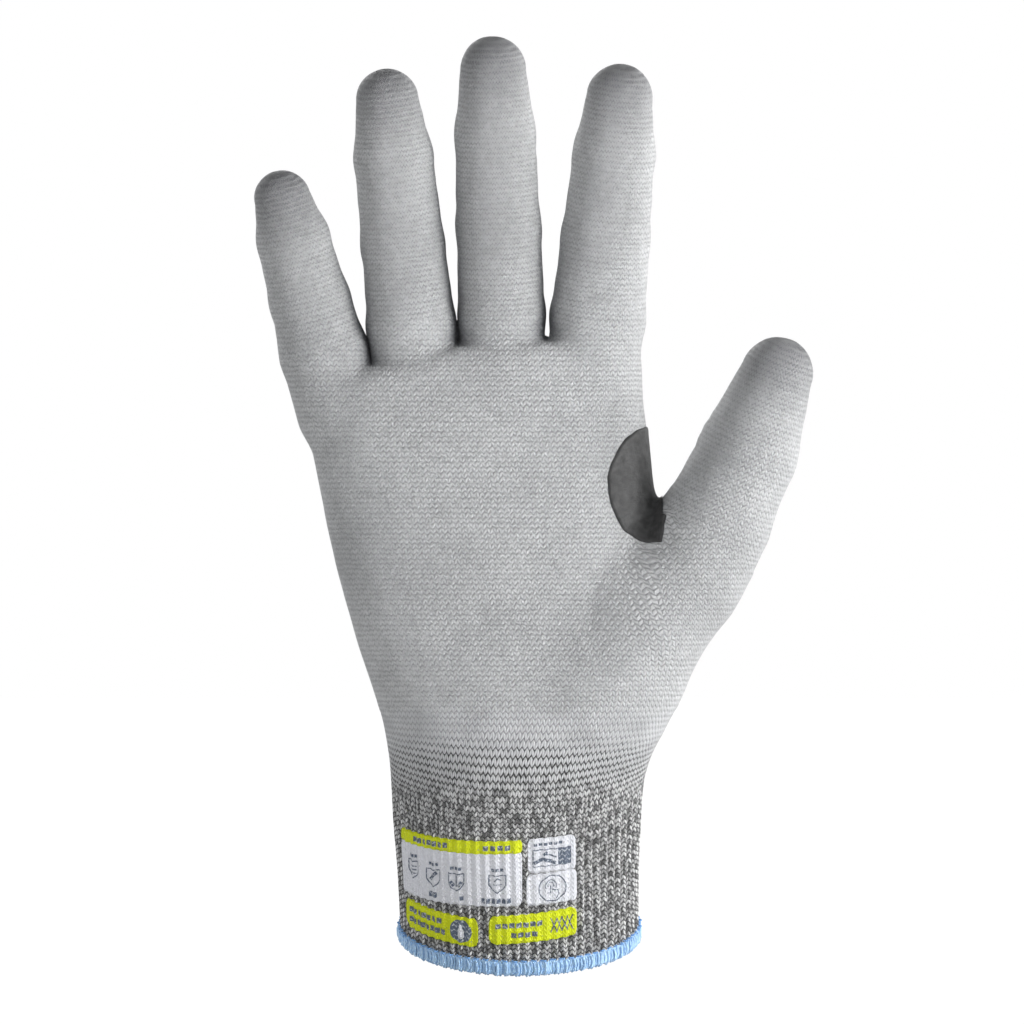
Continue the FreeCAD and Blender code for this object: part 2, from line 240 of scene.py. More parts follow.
def glove_distance(p):
    """About the distance to the outside of the glove."""
    trunk = trunk_distance(p)
    out = trunk.copy()
    for digit in DIGITS.values():
        points = np.array([digit.low, digit.tip])
        reach = 30.0 if digit is THUMB else 18.0
        low, high = points.min(0) - reach, points.max(0) + reach
        near = np.all((p > low) & (p < high), axis=1)
        if digit is THUMB:
            near |= np.all((p > HEEL_BOX[0]) & (p < HEEL_BOX[1]), axis=1)
        if not near.any():
            continue
        d = digit.distance(p[near])
        if digit is THUMB:
            out[near] = smooth_min(out[near], d, THUMB_BLEND)
        else:
            out[near] = np.minimum(out[near], smooth_min(trunk[near], d, WEB_BLEND))
    return out


def field_slope(p, step=0.4):
    g = np.empty_like(p)
    for i in range(3):
        e = np.zeros(3)
        e[i] = step
        g[:, i] = glove_distance(p + e) - glove_distance(p - e)
    g /= 2 * step
    size = np.maximum(norm(g, axis=1, keepdims=True), 1e-6)
    return g / size, size[:, 0]


# ---- from field to mesh
def surface_nets(low, high, step):
    """Vertices and quads of the zero surface of glove_distance in a box."""
    axes = [np.arange(l, h + step, step) for l, h in zip(low, high)]
    shape = tuple(len(a) for a in axes)
    values = np.empty(shape, np.float32)
    for i, x in enumerate(axes[0]):
        yy, zz = np.meshgrid(axes[1], axes[2], indexing="ij")
        plane = np.stack([np.full(yy.size, x), yy.ravel(), zz.ravel()], 1)
        values[i] = glove_distance(plane).reshape(yy.shape)
    inside = values < 0
    cell = tuple(s - 1 for s in shape)
    total = np.zeros(cell + (3,), np.float32)
    count = np.zeros(cell, np.int32)

    def corner(a, o):
        return a[o[0]:o[0] + cell[0], o[1]:o[1] + cell[1], o[2]:o[2] + cell[2]]

    for axis, start in itertools.product(range(3), itertools.product((0, 1), repeat=3)):
        if start[axis] == 1:
            continue
        a, b = corner(values, start), corner(values, start + np.eye(3, dtype=int)[axis])
        cross = (a < 0) != (b < 0)
        t = np.where(cross, a / np.where(cross, a - b, 1), 0)
        for i in range(3):
            total[..., i] += np.where(cross, start[i] + (t if i == axis else 0), 0)
        count += cross
    used = count > 0
    number = np.full(cell, -1, np.int64)
    number[used] = np.arange(used.sum())
    index = np.argwhere(used)
    verts = (index + total[used] / count[used][:, None]) * step + np.array(low)
    quads = []
    for axis in range(3):
        u, v = [(1, 2), (2, 0), (0, 1)][axis]
        sl = [slice(0, s - 1) for s in shape]
        sl[u] = slice(1, shape[u] - 1)
        sl[v] = slice(1, shape[v] - 1)
        other = list(sl)
        other[axis] = slice(1, shape[axis])
        a, b = inside[tuple(sl)], inside[tuple(other)]
        where = np.argwhere(a != b)
        flip = a[tuple(where.T)]
        where[:, u] += 1
        where[:, v] += 1
        eu, ev = np.eye(3, dtype=int)[u], np.eye(3, dtype=int)[v]
        ring = [number[tuple((where - eu - ev).T)], number[tuple((where - ev).T)],
                number[tuple(where.T)], number[tuple((where - eu).T)]]
        q = np.stack(ring, 1)
        q[~flip] = q[~flip][:, ::-1]
        quads.append(q)
    return verts.astype(float), np.concatenate(quads)


def relax(verts, quads, rounds):
    """Evens out the quads and puts the vertices back on the surface."""
    edges = np.concatenate([quads[:, [i, (i + 1) % 4]] for i in range(4)])
    edges = np.concatenate([edges, edges[:, ::-1]])
    degree = np.maximum(np.bincount(edges[:, 0], minlength=len(verts)), 1)
    for _ in range(rounds):
        mean = np.stack([np.bincount(edges[:, 0], weights=verts[edges[:, 1], i], minlength=len(verts))
                         for i in range(3)], 1) / degree[:, None]
        verts = verts + (mean - verts) * 0.5
        normal, size = field_slope(verts)
        verts = verts - normal * (glove_distance(verts) / np.maximum(size, 0.3))[:, None]
    return verts


# ---- where a point is on the glove
TRUNK_STITCHES = 140
DIGIT_STITCHES = {"little": 44, "ring": 48, "middle": 50, "index": 50, "thumb": 60}
STITCH_HEIGHT = 1.35
RIB_HEIGHT = 0.36
# a point on the plane where the thumb's own piece starts, and the plane's direction
THUMB_CUT = (np.array([38.0, HAND_Y, 115.5]), direction(0.587, 0.0, 0.81))
# how far the coat wraps round to the back, as a share of the half depth, and how far it covers each tip
THUMB_WRAP, FINGER_WRAP, TIP_DIP = 0.75, 0.30, 13.0


def smoothstep(a, b, x):
    t = np.clip((x - a) / (b - a), 0, 1)
    return t * t * (3 - 2 * t)


def trunk_stitches(p):
    """Stitch columns from the front or back line towards the sides, and stitch rows along the trunk."""
    cx, cy, w, d, _ = trunk_section(p[:, 2])
    flat = np.maximum(w - d, 0)
    x, y = np.abs(p[:, 0] - cx), -(p[:, 1] - cy)
    half = 2 * flat + np.pi * d
    end = np.arctan2(np.clip(x, flat, w) - flat, y)
    arc = np.where(x < flat, x, flat + d * np.minimum(end, np.pi - end)) + np.maximum(x - w, 0)
    arc *= np.sign(p[:, 0] - cx)
    up = p @ CUFF_UP
    blend = smoothstep(34, 64, p[:, 2])
    rows = (1 - blend) * up + blend * (54 + p[:, 2] - WRIST[2])
    return np.stack([arc / half * TRUNK_STITCHES / 2 + 0.5, rows / STITCH_HEIGHT], 1)


def digit_stitches(p, digit):
    axis = digit.tip - digit.root
    axis = axis / norm(axis)
    q = p - digit.root
    t = q @ axis
    q = q - np.outer(t, axis)
    angle = np.arctan2(q @ digit.side, q @ PALM_SIDE)
    angle = np.where(np.abs(angle) > np.pi / 2, np.sign(angle) * np.pi - angle, angle)
    return np.stack([angle / np.pi * DIGIT_STITCHES[digit.name] / 2 + 0.5, t / STITCH_HEIGHT], 1)


def noise3(p, scale, seed):
    """Smooth noise from -1 to 1 at every point, with features about scale millimetres across."""
    q = p / scale + seed * 17.3
    return np.array([noise.noise(Vector(v)) for v in q])


def front_share(p, digit):
    """How far towards the palm side a point of a digit is, from -1 at the back to 1."""
    best, share = np.full(len(p), 1e9), np.zeros(len(p))
    for a, b, forward, s0, s1 in digit.segments():
        axis = (b - a) / norm(b - a)
        t = (p - a) @ axis
        over = np.abs(t - np.clip(t, 0, norm(b - a)))
        value = ((p - a) @ forward) / s0[1]
        share = np.where(over < best, value, share)
        best = np.minimum(best, over)
    return share


def coat_cover(p, digit, ragged):
    """How much coat lies on the knit, 0 to 1, and a value that is above zero where it is a closed film."""
    if digit is None:
        side = (trunk_section(p[:, 2])[1] - p[:, 1]) + 3.0 + ragged * 0.8
        fade = smoothstep(33.0, 64.0, p[:, 2] + ragged * 1.2)
        film = np.minimum(side, (p[:, 2] - 60.0 + ragged * 3.0) * 0.25)
        return np.minimum(smoothstep(-0.8, 1.0, side), fade), film
    wrap = THUMB_WRAP if digit is THUMB else FINGER_WRAP
    side = (front_share(p, digit) + wrap) * digit.half[0][1] + ragged * 0.8
    tip = TIP_DIP - norm(p - digit.tip, axis=1) + ragged
    film = np.maximum(side, tip)
    return smoothstep(-0.8, 1.0, film), film


def fold_ends(digit, i):
    """Where the cloth starts and stops bending at joint i."""
    before = digit.along[max(i - 1, 0)]
    return digit.pivots[i] - before * digit.fold[i], digit.pivots[i] + digit.along[i] * digit.fold[i]


def middle_of(digit, i):
    """The plane half way along the stiff part of segment i."""
    length = norm(digit.pivots[i + 1] - digit.pivots[i])
    at = (digit.fold[i] + length - digit.fold[i + 1]) / 2
    return digit.pivots[i] + digit.along[i] * at


# ---- soft shape: creases, slack and ribs
PALM_LINES = ((131.0, 0.10, 0.13), (118.0, -0.22, 0.11))  # height, slope, depth
WRIST_FOLDS = ((49.0, 0.16, 2.0), (54.5, 0.26, 1.8), (60.0, 0.18, 2.2))  # height, depth, width
CREASE_OFFSETS, CREASE_DEPTHS, CREASE_WIDTHS = (2.5, 4.5), (0.16, 0.42), (0.8, 1.5)


def digit_relief(p, digit):
    """Faint, uneven creases on the palm side at each joint and a little slack in the cloth between them."""
    uneven = random.Random(digit.name)
    share = smoothstep(-0.2, 0.8, front_share(p, digit))
    out = 0.17 * noise3(p, 11.0, 1) + 0.12 * noise3(p, 4.0, 2)
    wobble = noise3(p, 7.0, 3) * 1.3
    patchy = 0.6 + 0.8 * noise3(p, 8.0, 7)
    near, far = CREASE_OFFSETS
    for pivot, along in zip(digit.pivots, digit.along):
        t = (p - pivot) @ along + wobble
        for offset in (0.0, uneven.uniform(-far, -near), uneven.uniform(near, far)):
            depth = uneven.uniform(*CREASE_DEPTHS) * np.maximum(share * patchy, 0)
            out -= depth * np.exp(-((t - offset) / uneven.uniform(*CREASE_WIDTHS)) ** 2)
    return out


def trunk_relief(p):
    """Slack, the palm's own creases and the folds across the wrist."""
    front = smoothstep(-2, 4, HAND_Y - p[:, 1])
    palm = smoothstep(40, 62, p[:, 2])
    out = (0.42 * noise3(p, 22.0, 4) + 0.16 * noise3(p, 8.0, 5)) * (0.3 + 0.7 * palm)
    wobble = noise3(p, 10.0, 6)
    x, z = p[:, 0], p[:, 2]
    heel = np.hypot(x - 47, (z - 84) / 1.25) + wobble * 1.2
    line = np.exp(-((heel - 28.0) / 1.4) ** 2) * smoothstep(74, 90, z) * (1 - smoothstep(106, 118, z))
    out -= 0.32 * line * (1 - smoothstep(30, 42, x)) * front
    for height, slope, depth in PALM_LINES:
        t = z - height - slope * x + wobble * 1.6
        out -= depth * front * np.exp(-(t / 1.3) ** 2) * np.exp(-((x + 12) / 34) ** 6)
    for height, depth, width in WRIST_FOLDS:
        t = z - height - 0.0022 * (x - 2) ** 2 + wobble * 1.8
        out -= depth * front * np.exp(-(t / width) ** 2)
    return out


def rib_relief(p, stitches):
    """Knit ribs two stitches wide on the cuff, fading out at the wrist."""
    strength = 1 - smoothstep(34, 52, p @ CUFF_UP)
    return RIB_HEIGHT * strength * np.cos(stitches[:, 0] * np.pi)


# ---- the whole skin
SKIN_BOX = ((-84, -66, -13), (96, 34, 246))
RAW_EDGE = 1.2
skin, skin_quads = surface_nets(*SKIN_BOX, VOXEL)
skin = relax(skin, skin_quads, 4)
skin_quads = skin_quads[((skin @ CUFF_UP) > RAW_EDGE)[skin_quads].all(1)]


def digit_distances(p):
    """The distance to each digit, a column for each."""
    return np.stack([digit.distance(p) for digit in DIGITS.values()], 1)


nearest = np.argmin(digit_distances(skin), 1)


def cut_height(digit, number):
    """How far up a finger its own piece starts: just above the webs that join it to its neighbours."""
    mine = nearest[skin_quads] == number
    web = np.unique(skin_quads[mine.any(1) & ~mine.all(1)])
    up = (skin[web] - digit.root) @ digit.along[0]
    return max(float(up[np.abs(up) < 15].max()) + 0.6, 0.5)


CUTS = {d.name: cut_height(d, i) for i, d in enumerate(DIGITS.values()) if d is not THUMB}


def height_above_cut(p, digit):
    """How far beyond the start of the digit's own piece each point is."""
    if digit is THUMB:
        return (p - THUMB_CUT[0]) @ THUMB_CUT[1]
    return (p - digit.root) @ digit.along[0] - CUTS[digit.name]


def region_of(p):
    """0 for the trunk and 1, 2 ... for the digits, for points on or near the skin."""
    d = digit_distances(p)
    near = np.argmin(d, 1)
    region = np.zeros(len(p), int)
    for i, digit in enumerate(DIGITS.values()):
        own = (near == i) & (height_above_cut(p, digit) > 0) & (d[:, i] < 5)
        if digit is THUMB:
            own &= d[:, i] < trunk_distance(p)
        region[own] = i + 1
    return region


def digits_in(region):
    """Each digit that has points, and which points are its own."""
    for number, digit in enumerate(DIGITS.values(), 1):
        if (region == number).any():
            yield digit, region == number


def knit_coordinates(p, region):
    out = trunk_stitches(p)
    for digit, m in digits_in(region):
        out[m] = digit_stitches(p[m], digit)
    return out


def coat_values(p, region):
    ragged = noise3(p, 3.0, 8) + 0.5 * noise3(p, 1.2, 9)
    cover, film = coat_cover(p, None, ragged)
    for digit, m in digits_in(region):
        cover[m], film[m] = coat_cover(p[m], digit, ragged[m])
    return cover, film


def relief(p, region):
    out = trunk_relief(p)
    for digit, m in digits_in(region):
        share = smoothstep(0, 5, height_above_cut(p[m], digit))
        out[m] = out[m] * (1 - share) + digit_relief(p[m], digit) * share
    return out


skin_region = region_of(skin)
normals, _ = field_slope(skin)
skin = skin + normals * relief(skin, skin_region)[:, None]


def mesh_normals(verts, quads):
    a, b, c, d = (verts[quads[:, i]] for i in range(4))
    face = np.cross(c - a, d - b)
    out = np.zeros_like(verts)
    for i in range(4):
        for k in range(3):
            out[:, k] += np.bincount(quads[:, i], weights=face[:, k], minlength=len(verts))
    return out / np.maximum(norm(out, axis=1, keepdims=True), 1e-9)


skin_normals = mesh_normals(skin, skin_quads)
if (skin_normals * normals).sum() < 0:
    skin_quads = skin_quads[:, ::-1]
    skin_normals = -skin_normals
stitches = knit_coordinates(skin, skin_region)
cover, film = coat_values(skin, skin_region)


class Surface:
    """Points and quads with their directions and the values they carry, such as stitch and coat."""

    def __init__(self, points, quads, normals, values):
        self.points, self.quads, self.normals, self.values = points, quads, normals, values

    def subset(self, keep):
        used, back = np.unique(self.quads[keep], return_inverse=True)
        values = {k: v[used] for k, v in self.values.items()}
        return Surface(self.points[used], back.reshape(-1, 4), self.normals[used], values)

    def refined(self):
        """Every quad cut into four."""
        ends = np.sort(np.stack([self.quads, np.roll(self.quads, -1, 1)], 2).reshape(-1, 2), 1)
        edges, back = np.unique(ends, axis=0, return_inverse=True)
        mids = len(self.points) + back.reshape(-1, 4)
        centres = len(self.points) + len(edges) + np.arange(len(self.quads))

        def spread(v):
            return np.concatenate([v, v[edges].mean(1), v[self.quads].mean(1)])

        corners = [np.stack([self.quads[:, i], mids[:, i], centres, mids[:, i - 1]], 1) for i in range(4)]
        normals = spread(self.normals)
        normals /= norm(normals, axis=1, keepdims=True)
        return Surface(spread(self.points), np.concatenate(corners), normals,
                       {k: spread(v) for k, v in self.values.items()})

    def lifted(self, amount):
        amount = np.broadcast_to(amount, len(self.points))
        return Surface(self.points + self.normals * amount[:, None], self.quads, self.normals, self.values)

    def flipped(self):
        return Surface(self.points, self.quads[:, ::-1], -self.normals, self.values)

    def object(self, name, slot, own_normals=False):
        """A smooth mesh object. own_normals takes the shading from the mesh itself."""
        mesh = bpy.data.meshes.new(name)
        mesh.from_pydata((self.points * MM).tolist(), [], self.quads.tolist())
        mesh.polygons.foreach_set("use_smooth", np.ones(len(self.quads), bool))
        for key, value in dict(self.values, rest=self.points).items():
            kind, member = ("FLOAT_VECTOR", "vector") if value.ndim == 2 else ("FLOAT", "value")
            attribute = mesh.attributes.new(key, kind, "POINT")
            attribute.data.foreach_set(member, value.astype(np.float32).ravel())
        if not own_normals:
            mesh.normals_split_custom_set_from_vertices(self.normals.tolist())
        return new_object(name, mesh, slot)


def new_object(name, mesh, slot):
    thing = bpy.data.objects.new(name, mesh)
    SCENE.collection.objects.link(thing)
    mesh.materials.append(material(slot))
    return thing


# ---- materials
def grey(v):
    return (v, v, v, 1.0)


class Shader:
    """A node tree, written as short calls. Arguments may be numbers or other nodes' outputs."""

    def __init__(self, owner):
        self.owner = owner
        owner.use_nodes = True
        self.tree = owner.node_tree
        self.tree.nodes.clear()

    def node(self, kind, inputs=None, **settings):
        made = self.tree.nodes.new("ShaderNode" + kind)
        for key, value in settings.items():
            setattr(made, key, value)
        for key, value in (inputs or {}).items():
            if hasattr(value, "links"):
                self.tree.links.new(value, made.inputs[key])
            else:
                made.inputs[key].default_value = value
        return made

    def math(self, operation, *values):
        return self.node("Math", dict(enumerate(values)), operation=operation).outputs[0]

    def times(self, a, b):
        return self.math("MULTIPLY", a, b)

    def scaled(self, value, factor, offset):
        return self.math("MULTIPLY_ADD", value, factor, offset)

    def centred(self, value):
        return self.math("SUBTRACT", value, 0.5)

    def off_middle(self, value):
        """How far a value is from the middle of its own unit."""
        return self.math("ABSOLUTE", self.centred(self.math("FRACT", value)))

    def between(self, low, high, value):
        """0 below low, 1 above high, smooth between."""
        return self.node("MapRange", {0: value, 1: low, 2: high}, interpolation_type="SMOOTHSTEP").outputs[0]

    def field(self, name, output="Fac"):
        return self.node("Attribute", attribute_name=name).outputs[output]

    def noise(self, scale, detail=2.0):
        inputs = {"Vector": self.field("rest", "Vector"), "Scale": scale, "Detail": detail}
        return self.node("TexNoise", inputs).outputs["Fac"]

    def ramp(self, value, *stops):
        made = self.node("ValToRGB", {0: value})
        colours = made.color_ramp.elements
        while len(colours) < len(stops):
            colours.new(0.5)
        for element, (at, colour) in zip(colours, stops):
            element.position, element.color = at, colour
        return made.outputs[0]

    def mix(self, share, a, b, blend="MIX"):
        return self.node("Mix", {0: share, 6: a, 7: b}, data_type="RGBA", blend_type=blend).outputs[2]

    def bump(self, height, depth, before=None):
        inputs = {"Height": height, "Distance": depth * MM, "Strength": 1.0}
        if before:
            inputs["Normal"] = before
        return self.node("Bump", inputs).outputs[0]

    def finish(self, colour, normal, roughness, specular, sheen=0.0):
        inputs = {"Base Color": colour, "Normal": normal, "Roughness": roughness, "Sheen Weight": sheen,
                  "Specular IOR Level": specular}
        return self.output("OutputMaterial", self.node("BsdfPrincipled", inputs))

    def output(self, kind, shader):
        self.node(kind, {0: shader.outputs[0]})
        return self.owner

    def seen_and_lit(self, share, lit, seen):
        """One shader for what the eye meets, by a share, and another for what lights the scene."""
        share = self.times(self.node("LightPath").outputs["Is Camera Ray"], share)
        return self.node("MixShader", {0: share, 1: lit.outputs[0], 2: seen.outputs[0]})


DARK_YARN, LIGHT_YARN, PALEST_YARN = grey(0.17), grey(0.66), grey(0.86)
COAT_LIGHT, COAT_DARK = (0.60, 0.605, 0.615, 1.0), (0.50, 0.505, 0.515, 1.0)
DIMPLE_SHADE = (0.25, 0.255, 0.27, 1)
LEG_SLANT = 0.55


def stitch_height(s, slack):
    """The height of a plain knit face, 0 to 1: two slanted legs to each stitch. Also its leg's own number."""
    split = s.node("SeparateXYZ", {0: s.field("stitch", "Vector")})
    sway = s.times(s.centred(s.noise(0.35, 1.0)), slack)
    u = s.math("ADD", split.outputs[0], sway)
    side = s.off_middle(u)
    lift = s.scaled(side, 2 * LEG_SLANT, s.math("ADD", split.outputs[1], sway))
    edge = s.times(s.between(0.5, 0.40, side), s.between(0.0, 0.09, side))
    height = s.times(s.between(0.5, 0.16, s.off_middle(lift)), s.scaled(edge, 0.75, 0.25))
    leg = s.node("CombineXYZ", {0: s.math("FLOOR", s.times(u, 2.0)), 1: s.math("FLOOR", lift)})
    return height, leg.outputs[0]


def knit_material(s):
    """Melange knit: light and dark yarn twisted together, with coat soaked in where the coat value says."""
    height, leg = stitch_height(s, 0.35)
    toss = s.node("TexWhiteNoise", {"Vector": leg}, noise_dimensions="3D").outputs["Value"]
    fleck = s.scaled(s.centred(s.noise(2.6, 3.0)), 1.5, toss)
    yarn = s.ramp(fleck, (0.0, DARK_YARN), (0.16, DARK_YARN), (0.56, LIGHT_YARN), (0.9, PALEST_YARN))
    shade = s.scaled(s.between(0.0, 0.7, height), 0.80, 0.20)
    shade = s.times(shade, s.scaled(s.field("rib"), 0.24, 0.76))
    yarn = s.mix(1.0, yarn, s.node("CombineColor", {0: shade, 1: shade, 2: shade}).outputs[0], "MULTIPLY")
    coat = s.field("coat")
    wet = s.scaled(coat, 1.45, s.times(s.math("SUBTRACT", height, 1.0), 0.85))
    wet = s.between(0.0, 0.42, s.math("ADD", wet, s.times(s.centred(s.noise(0.9)), 0.35)))
    soaked = s.ramp(s.noise(0.12), (0.3, COAT_DARK), (0.62, COAT_LIGHT))
    soaked = s.mix(s.times(s.between(0.5, 0.0, height), 0.6), soaked, DIMPLE_SHADE)
    colour = s.mix(s.times(wet, s.between(0.02, 0.1, coat)), yarn, soaked)
    fuzz = s.bump(s.noise(5.0, 3.0), 0.10)
    return s.finish(colour, s.bump(height, 0.30, fuzz), 0.92, 0.2, 0.15)


def coat_material(s):
    """Thin polyurethane dipped over the knit: the stitches still show as soft dimples. Painted shade darkens
    the dimples, the creases and the gaps between the fingers, and in part the fingertips.
    """
    height, _ = stitch_height(s, 0.6)
    wide, mottle, fine = s.noise(0.045, 2.0), s.noise(0.5, 3.0), s.noise(1.6, 2.0)
    tone = s.scaled(wide, 0.55, s.times(mottle, 0.45))
    base = s.ramp(tone, (0.34, (0.48, 0.485, 0.49, 1)), (0.62, (0.63, 0.635, 0.64, 1)))
    dimple = s.times(s.between(0.55, 0.0, height), s.between(0.30, 0.62, fine))
    # Darker towards the fingertips: partly the coat's double dip and partly painted shade.
    print_wear_and_tip_shade = s.ramp(s.field("tip"), (0.0, grey(1.0)), (1.0, (0.60, 0.60, 0.61, 1)))
    colour = s.mix(1.0, s.mix(s.times(dimple, 0.62), base, DIMPLE_SHADE), print_wear_and_tip_shade, "MULTIPLY")
    # Painted shade: the coat turns dark grey where ambient occlusion finds other surfaces close by, at the
    # finger bases and between the fingers.
    near = s.node("AmbientOcclusion", {"Distance": 0.012}, samples=6).outputs["AO"]
    colour = s.mix(s.between(0.95, 0.25, near), colour, (0.16, 0.165, 0.175, 1))
    soft = s.bump(s.scaled(s.noise(0.75, 2.0), 1.2, s.times(height, 0.8)), 0.48)
    return s.finish(colour, s.bump(s.noise(3.2, 2.0), 0.08, soft), 0.60, 0.3, 0.05)


def rubber_material(s):
    colour = s.ramp(s.noise(0.5, 3.0), (0.35, grey(0.030)), (0.7, grey(0.062)))
    return s.finish(colour, s.bump(s.noise(2.4, 3.0), 0.10, s.bump(s.noise(0.6), 0.22)), 0.55, 0.4)


def yarn_material(s, dark, light):
    colour = s.ramp(s.noise(1.5, 4.0), (0.3, dark), (0.7, light))
    twist = s.node("TexWave", {"Vector": s.field("rest", "Vector"), "Scale": 0.55, "Distortion": 3.0})
    normal = s.bump(twist.outputs["Fac"], 0.08, s.bump(s.noise(6.0, 3.0), 0.06))
    return s.finish(colour, normal, 0.85, 0.2, 0.3)


def print_material(s, ink, print_wear_and_tip_shade, wear):
    """A thin heat-transfer film that sank into the knit, with the stitches breaking through in places."""
    height, _ = stitch_height(s, 0.35)
    bare = s.scaled(s.noise(1.3, 3.0), 1.0, s.times(s.math("SUBTRACT", 1.0, height), 0.35))
    ink = s.mix(s.noise(0.3), ink, tuple(c * 0.9 for c in ink))
    colour = s.mix(s.between(wear, wear + 0.12, bare), ink, print_wear_and_tip_shade)
    return s.finish(colour, s.bump(height, 0.20, s.bump(s.noise(2.5, 3.0), 0.08)), 0.55, 0.35)


MATERIALS = {
    "grey_rib_knit": (knit_material,),
    "grey_knit": (knit_material,),
    "grey_pu_coat": (coat_material,),
    "black_rubber_patch": (rubber_material,),
    "hem_overlock_yarn": (yarn_material, (0.33, 0.56, 0.88, 1), (0.60, 0.80, 0.99, 1)),
    "hem_needle_thread": (yarn_material, (0.13, 0.31, 0.66, 1), (0.24, 0.46, 0.82, 1)),
    "elastic_yarn": (yarn_material, grey(0.42), grey(0.66)),
    "white_print": (print_material, (0.80, 0.81, 0.86, 1), grey(0.42), 0.93),
    "yellow_print": (print_material, (0.72, 0.80, 0.010, 1), (0.40, 0.43, 0.16, 1), 0.90),
    "print_ink": (print_material, (0.125, 0.155, 0.21, 1.0), (0.50, 0.53, 0.58, 1), 0.74),
}
made_materials = {}


def material(name):
    if name not in made_materials:
        make, *looks = MATERIALS[name]
        made_materials[name] = make(Shader(bpy.data.materials.new(name)), *looks)
    return made_materials[name]


# ---- the knit skin, its coat and its lining, piece by piece
FOLD_IN, FOLD_OUT = CUFF_UP * (CUFF_LENGTH - 1.5), np.array([0, HAND_Y, WRIST[2] + 16.0])
FOLD_DIRECTION = direction(*(FOLD_OUT - FOLD_IN))
# how far inside its own cloth each bend starts and ends
WRIST_MARGIN, FINGER_MARGINS, THUMB_MARGINS = 1.2, (1.3, 1.2), (0.2, 3.2)
# how far the coat's edge dives under the knit, and the film value where it ends
COAT_DIVE, FILM_EDGE = 0.16, -0.6


def as_vectors(flat):
    return np.pad(flat, ((0, 0), (0, 1)))


# How near each point is to a fingertip; the coat darkens there, partly for its double dip and partly as
# painted shade.
to_tip = np.min([norm(skin - d.tip, axis=1) for d in DIGITS.values()], axis=0)
tips = np.clip(1.35 - to_tip / 17.0, 0, 1)
whole = Surface(skin, skin_quads, skin_normals,
                {"stitch": as_vectors(stitches), "coat": cover, "film": film, "tip": tips})
corner_regions = skin_region[skin_quads]
face_region = np.where((corner_regions == corner_regions[:, :1]).all(1), corner_regions[:, 0], 0)
face_centre = skin[skin_quads].mean(1)
up_the_fold = (face_centre - FOLD_IN) @ FOLD_DIRECTION
fold_length = norm(FOLD_OUT - FOLD_IN)
in_cuff = (face_region == 0) & (up_the_fold < 0)
in_wrist = (face_region == 0) & (up_the_fold >= 0) & (up_the_fold < fold_length)
in_palm = (face_region == 0) & (up_the_fold >= fold_length)


def thumb_shift():
    """How far beyond the thumb's cut plane its own faces meet the palm's."""
    on_thumb = corner_regions == THUMB_NUMBER
    mixed = on_thumb.any(1) & ~on_thumb.all(1)
    own = np.unique(skin_quads[mixed][on_thumb[mixed]])
    return float(height_above_cut(skin[own], THUMB).max())


THUMB_SHIFT = thumb_shift()


def bend(piece, digit, i):
    """Works out where the cloth would start and stop bending at joint i of a digit, but only bakes the
    piece's placement into its mesh.
    """
    start, end = fold_ends(digit, i)
    if i == 0:
        rigid = middle_of(digit, 0)
        if digit is THUMB:
            start = THUMB_CUT[0] + THUMB_CUT[1] * (THUMB_SHIFT + THUMB_MARGINS[0])
            end = start + THUMB_CUT[1] * ((rigid - start) @ THUMB_CUT[1] - THUMB_MARGINS[1])
        else:
            start = digit.root + digit.along[0] * (CUTS[digit.name] + FINGER_MARGINS[0])
            end = rigid - digit.along[0] * FINGER_MARGINS[1]
    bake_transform(piece)


def bend_wrist(piece):
    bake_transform(piece)


def ride_palm(piece):
    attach(piece, "palm")


def ride_cuff(piece):
    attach(piece, "cuff")


def coat_of(surface):
    """The film over a piece of skin: thin, and diving under the knit at its own edge."""
    film_only = surface.subset((surface.values["film"][surface.quads] > FILM_EDGE).any(1))
    rise = smoothstep(FILM_EDGE, 1.6, film_only.values["film"])
    return film_only.lifted(-COAT_DIVE + (COAT + COAT_DIVE) * rise)


def make_pair(name, faces, hold, knit_nodes, coat_nodes=(), slot="grey_knit", digit=None, rib=False):
    """The knit of a stretch of glove, its coat where it has one, and the trunk's lining."""
    surface = whole.subset(faces)
    flat = digit_stitches(surface.points, digit) if digit else trunk_stitches(surface.points)
    surface.values["stitch"] = as_vectors(flat)
    if rib:
        surface = surface.refined()
    if rib:
        wave = rib_relief(surface.points, surface.values["stitch"])
        surface = surface.lifted(wave)
        surface.values["rib"] = wave / RIB_HEIGHT
    piece = surface.object(name + "_knit", slot, own_normals=rib)
    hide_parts(*knit_nodes)
    hold(piece)
    if digit is None:
        hold(whole.subset(faces).lifted(-KNIT_WALL).flipped().object(name + "_lining", slot))
    if (surface.values["film"] > 0).any():
        coat = coat_of(surface).object(name + "_coat", "grey_pu_coat")
        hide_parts(*coat_nodes)
        hold(coat)


make_pair("cuff", in_cuff, ride_cuff, ["cuff_rib_knit"], slot="grey_rib_knit", rib=True)
make_pair("wrist", in_wrist, bend_wrist, ["wrist_fold_sleeve"], rib=True)
make_pair("palm", in_palm, ride_palm, ["palm_knit"], ["palm_coating"])
SEGMENTS = {3: ("proximal", "middle", "distal"), 2: ("proximal", "distal")}
for number, (name, digit) in enumerate(DIGITS.items(), 1):
    below = face_region == number
    for i, part in enumerate(SEGMENTS[len(digit.pivots)]):
        own = below
        if i + 1 < len(digit.pivots):
            beyond = (face_centre - middle_of(digit, i)) @ digit.along[i] > 0
            own, below = below & ~beyond, below & beyond
        make_pair(f"{name}_{part}", own, lambda piece, d=digit, k=i: bend(piece, d, k),
                  [f"{name}_{digit.kinds[i]}_fold_sleeve", f"{name}_{part}_knit"],
                  [f"{name}_{part}_coating"], digit=digit)


# ---- the thumb crotch patch
PATCH_MIDDLE, PATCH_HALF_SIZE = (35.5, 121.2), (12.0, 15.5)
